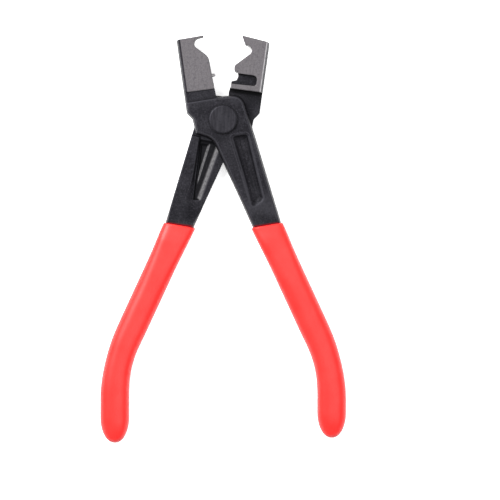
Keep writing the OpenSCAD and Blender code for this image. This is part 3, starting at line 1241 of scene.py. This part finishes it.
@dataclass(frozen=True)
class GripTree:
    """The Geometry Nodes tree that sweeps a grip down a path.

    A flat sheet of rings by segments is wrapped round the path. Its first rings turn in to the
    steel as the mouth's lip, and its last ones draw in to the rounded end.
    """

    rings: int
    segments: int
    lip_share: float = 0.05
    tip_share: float = 0.8
    tip_l: float = 11.5
    tip_power: float = 0.92
    lip_t: float = 1.1
    lip_l: float = 0.55
    lip_steep: float = 1.3
    taper_l: float = 20.0
    waist: tuple[float, float, float] = (48.0, 66.0, 0.35)
    flare: tuple[float, float, float] = (66.0, 84.0, 0.34)
    rise: tuple[float, float] = (9.0, 0.86)
    squareness: tuple[float, float, float] = (34.0, 3.6, 2.45)
    skew: tuple[float, float] = (16.0, 0.27)
    seal: float = 1e-6

    def tree(self, name: str) -> bpy.types.NodeTree:
        """Builds the tree.

        Args:
            name: the tree's name.

        Returns:
            The finished tree.
        """
        tree = bpy.data.node_groups.new(name, "GeometryNodeTree")
        self._sockets(tree)
        w = Wires(tree)
        given = w.add("NodeGroupInput").outputs
        length = w.add("GeometryNodeCurveLength", {0: given["Geometry"]}).outputs[0]
        sheet = w.add("GeometryNodeMeshGrid", {0: 1.0, 1: 1.0, 2: self.rings, 3: self.segments + 1})
        at = w.add("ShaderNodeSeparateXYZ", {0: w.add("GeometryNodeInputPosition").outputs[0]}).outputs
        u = w.math("ADD", at[0], 0.5)
        around = w.math("MULTIPLY", w.math("ADD", at[1], 0.5), 2 * math.pi)
        lip = w.math("DIVIDE", u, self.lip_share, clamp=True)
        tip = w.math("DIVIDE", w.math("SUBTRACT", u, self.tip_share), 1 - self.tip_share, clamp=True)
        past_lip = w.math("SUBTRACT", u, self.lip_share)
        share = w.math("DIVIDE", past_lip, self.tip_share - self.lip_share, clamp=True)
        roll = w.math("MULTIPLY", lip, math.pi)
        body_l = w.math("SUBTRACT", length, (self.tip_l + self.lip_l) * MM)
        quarter = w.math("MULTIPLY", tip, math.pi / 2)
        beyond = w.math("MULTIPLY", w.math("SINE", quarter), self.tip_l * MM)
        back = w.math("MULTIPLY", w.math("SUBTRACT", 1.0, w.math("SINE", roll)), self.lip_l * MM)
        station = w.math("ADD", w.math("ADD", w.math("MULTIPLY", share, body_l), beyond), back)
        draw_in = w.math("POWER", w.math("MAXIMUM", w.math("COSINE", quarter), 0.0), self.tip_power)
        size = self._section(w, given, station, roll, draw_in)
        place = self._wrap(w, given, station, around, size)
        moved = w.add("GeometryNodeSetPosition", {0: sheet.outputs[0], "Position": place})
        named = {0: moved.outputs[0], "Name": "lip"}
        kept = w.add("GeometryNodeStoreNamedAttribute", named, data_type="FLOAT", domain="POINT")
        w.feed(kept.inputs["Value"], w.math("SUBTRACT", 1.0, lip))
        sealed = w.add("GeometryNodeMergeByDistance", {0: kept.outputs[0], "Distance": self.seal})
        real = w.add("GeometryNodeRealizeInstances", {0: sealed.outputs[0]})
        dressed = w.add("GeometryNodeSetMaterial", {0: real.outputs[0], "Material": given["Finish"]})
        w.add("NodeGroupOutput", {0: dressed.outputs[0]})
        return tree

    def _sockets(self, tree: bpy.types.NodeTree) -> None:
        """Names the tree's inputs and its output.

        Args:
            tree: the tree to give them to.
        """
        face = tree.interface
        face.new_socket("Geometry", in_out="INPUT", socket_type="NodeSocketGeometry")
        for label in ("Half Width", "Mouth Half Width", "Half Thickness", "Side"):
            face.new_socket(label, in_out="INPUT", socket_type="NodeSocketFloat")
        face.new_socket("Finish", in_out="INPUT", socket_type="NodeSocketMaterial")
        face.new_socket("Geometry", in_out="OUTPUT", socket_type="NodeSocketGeometry")

    def _section(
        self, w: Wires, given: object, station: bpy.types.NodeSocket, roll: bpy.types.NodeSocket,
        draw_in: bpy.types.NodeSocket,
    ) -> tuple[bpy.types.NodeSocket, bpy.types.NodeSocket, bpy.types.NodeSocket]:
        """Works out the section's size along the grip.

        Args:
            w: the tree's wires.
            given: the group's inputs.
            station: the distance down the path.
            roll: the angle round the lip, from its inner edge to where the grip is full size.
            draw_in: 1 along the grip, falling to 0 at its end.

        Returns:
            The half width, the half thickness and how square the section is.
        """
        taper = w.ramp(station, 0.0, self.taper_l * MM, given["Mouth Half Width"], given["Half Width"])
        waist, flare = (
            w.ramp(station, start * MM, end * MM, 0.0, change * MM)
            for start, end, change in (self.waist, self.flare)
        )
        width = w.math("ADD", w.math("SUBTRACT", taper, waist), flare)
        inset = w.math("MULTIPLY", w.math("ADD", 1.0, w.math("COSINE", roll)), self.lip_t / 2 * MM)
        half_w = w.math("MULTIPLY", w.math("SUBTRACT", width, inset), draw_in)
        rise = w.ramp(station, 0.0, self.rise[0] * MM, self.rise[1], 1.0)
        thick = w.math("MULTIPLY", given["Half Thickness"], rise)
        thin = w.math("SUBTRACT", thick, w.math("MULTIPLY", inset, self.lip_steep))
        half_t = w.math("MULTIPLY", thin, draw_in)
        square = w.ramp(station, 0.0, self.squareness[0] * MM, *self.squareness[1:])
        return half_w, half_t, square

    def _wrap(
        self, w: Wires, given: object, station: bpy.types.NodeSocket, around: bpy.types.NodeSocket,
        size: tuple,
    ) -> bpy.types.NodeSocket:
        """Wraps the sheet round the path as a squared oval.

        Args:
            w: the tree's wires.
            given: the group's inputs.
            station: the distance down the path.
            around: the angle round the section.
            size: the half width, the half thickness and the squareness.

        Returns:
            Each point's new position.
        """
        half_w, half_t, square = size
        power = w.math("DIVIDE", 2.0, square)
        across, up = (
            w.math("MULTIPLY", w.math("SIGN", turn), w.math("POWER", w.math("ABSOLUTE", turn), power))
            for turn in (w.math("COSINE", around), w.math("SINE", around))
        )
        sample = w.add("GeometryNodeSampleCurve", {0: given["Geometry"], "Length": station}, mode="LENGTH")
        ahead = sample.outputs["Tangent"]
        side = w.scaled(w.vector("CROSS_PRODUCT", ahead, (0.0, 0.0, 1.0)), -1.0)
        outward = w.scaled(side, given["Side"])
        offset = w.math("MULTIPLY", across, half_w)
        skew = w.ramp(station, 0.0, self.skew[0] * MM, self.skew[1], 0.0)
        place = w.vector("ADD", sample.outputs["Position"], w.scaled(outward, offset))
        place = w.vector("ADD", place, w.scaled(ahead, w.math("MULTIPLY", offset, skew)))
        lift = w.add("ShaderNodeCombineXYZ", {2: w.math("MULTIPLY", up, half_t)}).outputs[0]
        return w.vector("ADD", place, lift)


@dataclass
class Studio:
    """The paper, the soft lights and the camera straight above."""

    centre: tuple[float, float] = (11.9, -57.7)
    view_width: float = 222.75
    height: float = 1300.0
    focal: float = 100.0
    sky: float = 0.6
    paper_half_w: float = 3000.0
    lamps: Sequence[tuple] = (("key", (-420, 330, 560), 420, 12.0), ("fill", (260, -90, 700), 700, 3.6))

    def build(self, floor_z: float) -> None:
        """Sets up the studio.

        Args:
            floor_z: the height of the paper, in millimetres.
        """
        self._paper(floor_z)
        self._camera()
        for name, place, size, watts in self.lamps:
            self._lamp(name, place, size, watts)
        world = bpy.data.worlds.new("studio")
        world.use_nodes = True
        background = world.node_tree.nodes["Background"]
        background.inputs["Color"].default_value = (1, 1, 1, 1)
        background.inputs["Strength"].default_value = self.sky
        bpy.context.scene.world = world
        bpy.context.scene.view_settings.view_transform = "Standard"

    def _paper(self, z: float) -> None:
        """Lays the paper under the tool.

        Args:
            z: the paper's height, in millimetres.
        """
        w = self.paper_half_w
        corners = np.array([[-w, -w, z], [w, -w, z], [w, w, z], [-w, w, z]], float)
        paper = add_piece("paper", corners, [(0, 1, 2, 3)], StudioPaper().material())
        paper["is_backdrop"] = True

    def _lamp(self, name: str, place: Sequence[float], size: float, watts: float) -> None:
        """Hangs one soft square lamp that points at the tool.

        Args:
            name: the lamp's name.
            place: where it hangs, in millimetres.
            size: its width, in millimetres.
            watts: its power.
        """
        data = bpy.data.lights.new(name, "AREA")
        data.size = size * MM
        data.energy = watts
        lamp = bpy.data.objects.new(name, data)
        lamp.location = Vector(place) * MM
        aim = Vector((self.centre[0], self.centre[1], 0)) * MM - lamp.location
        lamp.rotation_euler = aim.to_track_quat("-Z", "Y").to_euler()
        bpy.context.scene.collection.objects.link(lamp)

    def _camera(self) -> None:
        """Hangs the camera straight above, with +Y up in the view."""
        data = bpy.data.cameras.new("camera")
        data.sensor_width = self.view_width / self.height * self.focal
        data.lens = self.focal
        camera = bpy.data.objects.new("camera", data)
        camera.matrix_world = Matrix.Translation(Vector((*self.centre, self.height)) * MM)
        bpy.context.scene.collection.objects.link(camera)
        bpy.context.scene.camera = camera


FRONT_JAW: tuple[Corner, ...] = (
    (-20.75, 35.2, 0.3), (-8.75, 37.2, 0.25), (-8.65, 36.57, 0.25), (-16.38, 35.02, 2.45),
    (-6.46, 27.84, 4), (-3.95, 14.5, 3), (-2.95, 10.15, 0),
)
REAR_JAW: tuple[Corner, ...] = (
    (-20.45, 34.2, 0.3), (-8.45, 37.2, 0.12), (-9.95, 32.85, 0.12), (-17.07, 32.85, 2.15),
    (-4.95, 23.88, 1.6), (-4.95, 21.2, 1), (-6.55, 20.95, 0.2), (-6.6, 19.2, 1), (-5.9, 17.6, 0.4),
    (-3.65, 17.1, 0.12), (-3.05, 14.2, 2), (-1.85, 10.3, 0),
)


def main() -> None:
    """Builds the tool over the frame and sets up the studio."""
    logging.basicConfig(level=logging.INFO, format="%(name)s: %(message)s")
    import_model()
    low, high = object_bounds()
    grip_low, grip_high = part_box("front_grip")
    rivet_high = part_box("pivot_rivet")[1]
    mid_z = (grip_low.z + grip_high.z) / 2 / MM
    steel = LeverSteel().material()
    vinyl = DippedVinyl().material()
    sculptor = Sculptor()
    Lever("upper_lever", "front_lever", "front_half", Side.FRONT, FRONT_JAW, mid_z).build(sculptor, steel)
    Lever(
        "lower_lever", "rear_lever", "rear_half", Side.REAR, REAR_JAW, mid_z,
        hole_r=3.55, pocket_depth=2.6, black_band=0.85, painted_highlight=0.8,
    ).build(sculptor, steel)
    PivotRivet(rivet_high.z / MM).build(RivetSteel().material())
    ReleasePin(mid_z).build(PinSteel().material())
    for name, node, body, side in (
        ("upper_grip", "front_grip", "front_half", Side.FRONT),
        ("lower_grip", "rear_grip", "rear_half", Side.REAR),
    ):
        Grip(name, node, body, side, mid_z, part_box(node)[0].y / MM).build(vinyl)
    Studio().build(low.z / MM)


if __name__ == "__main__":
    main()
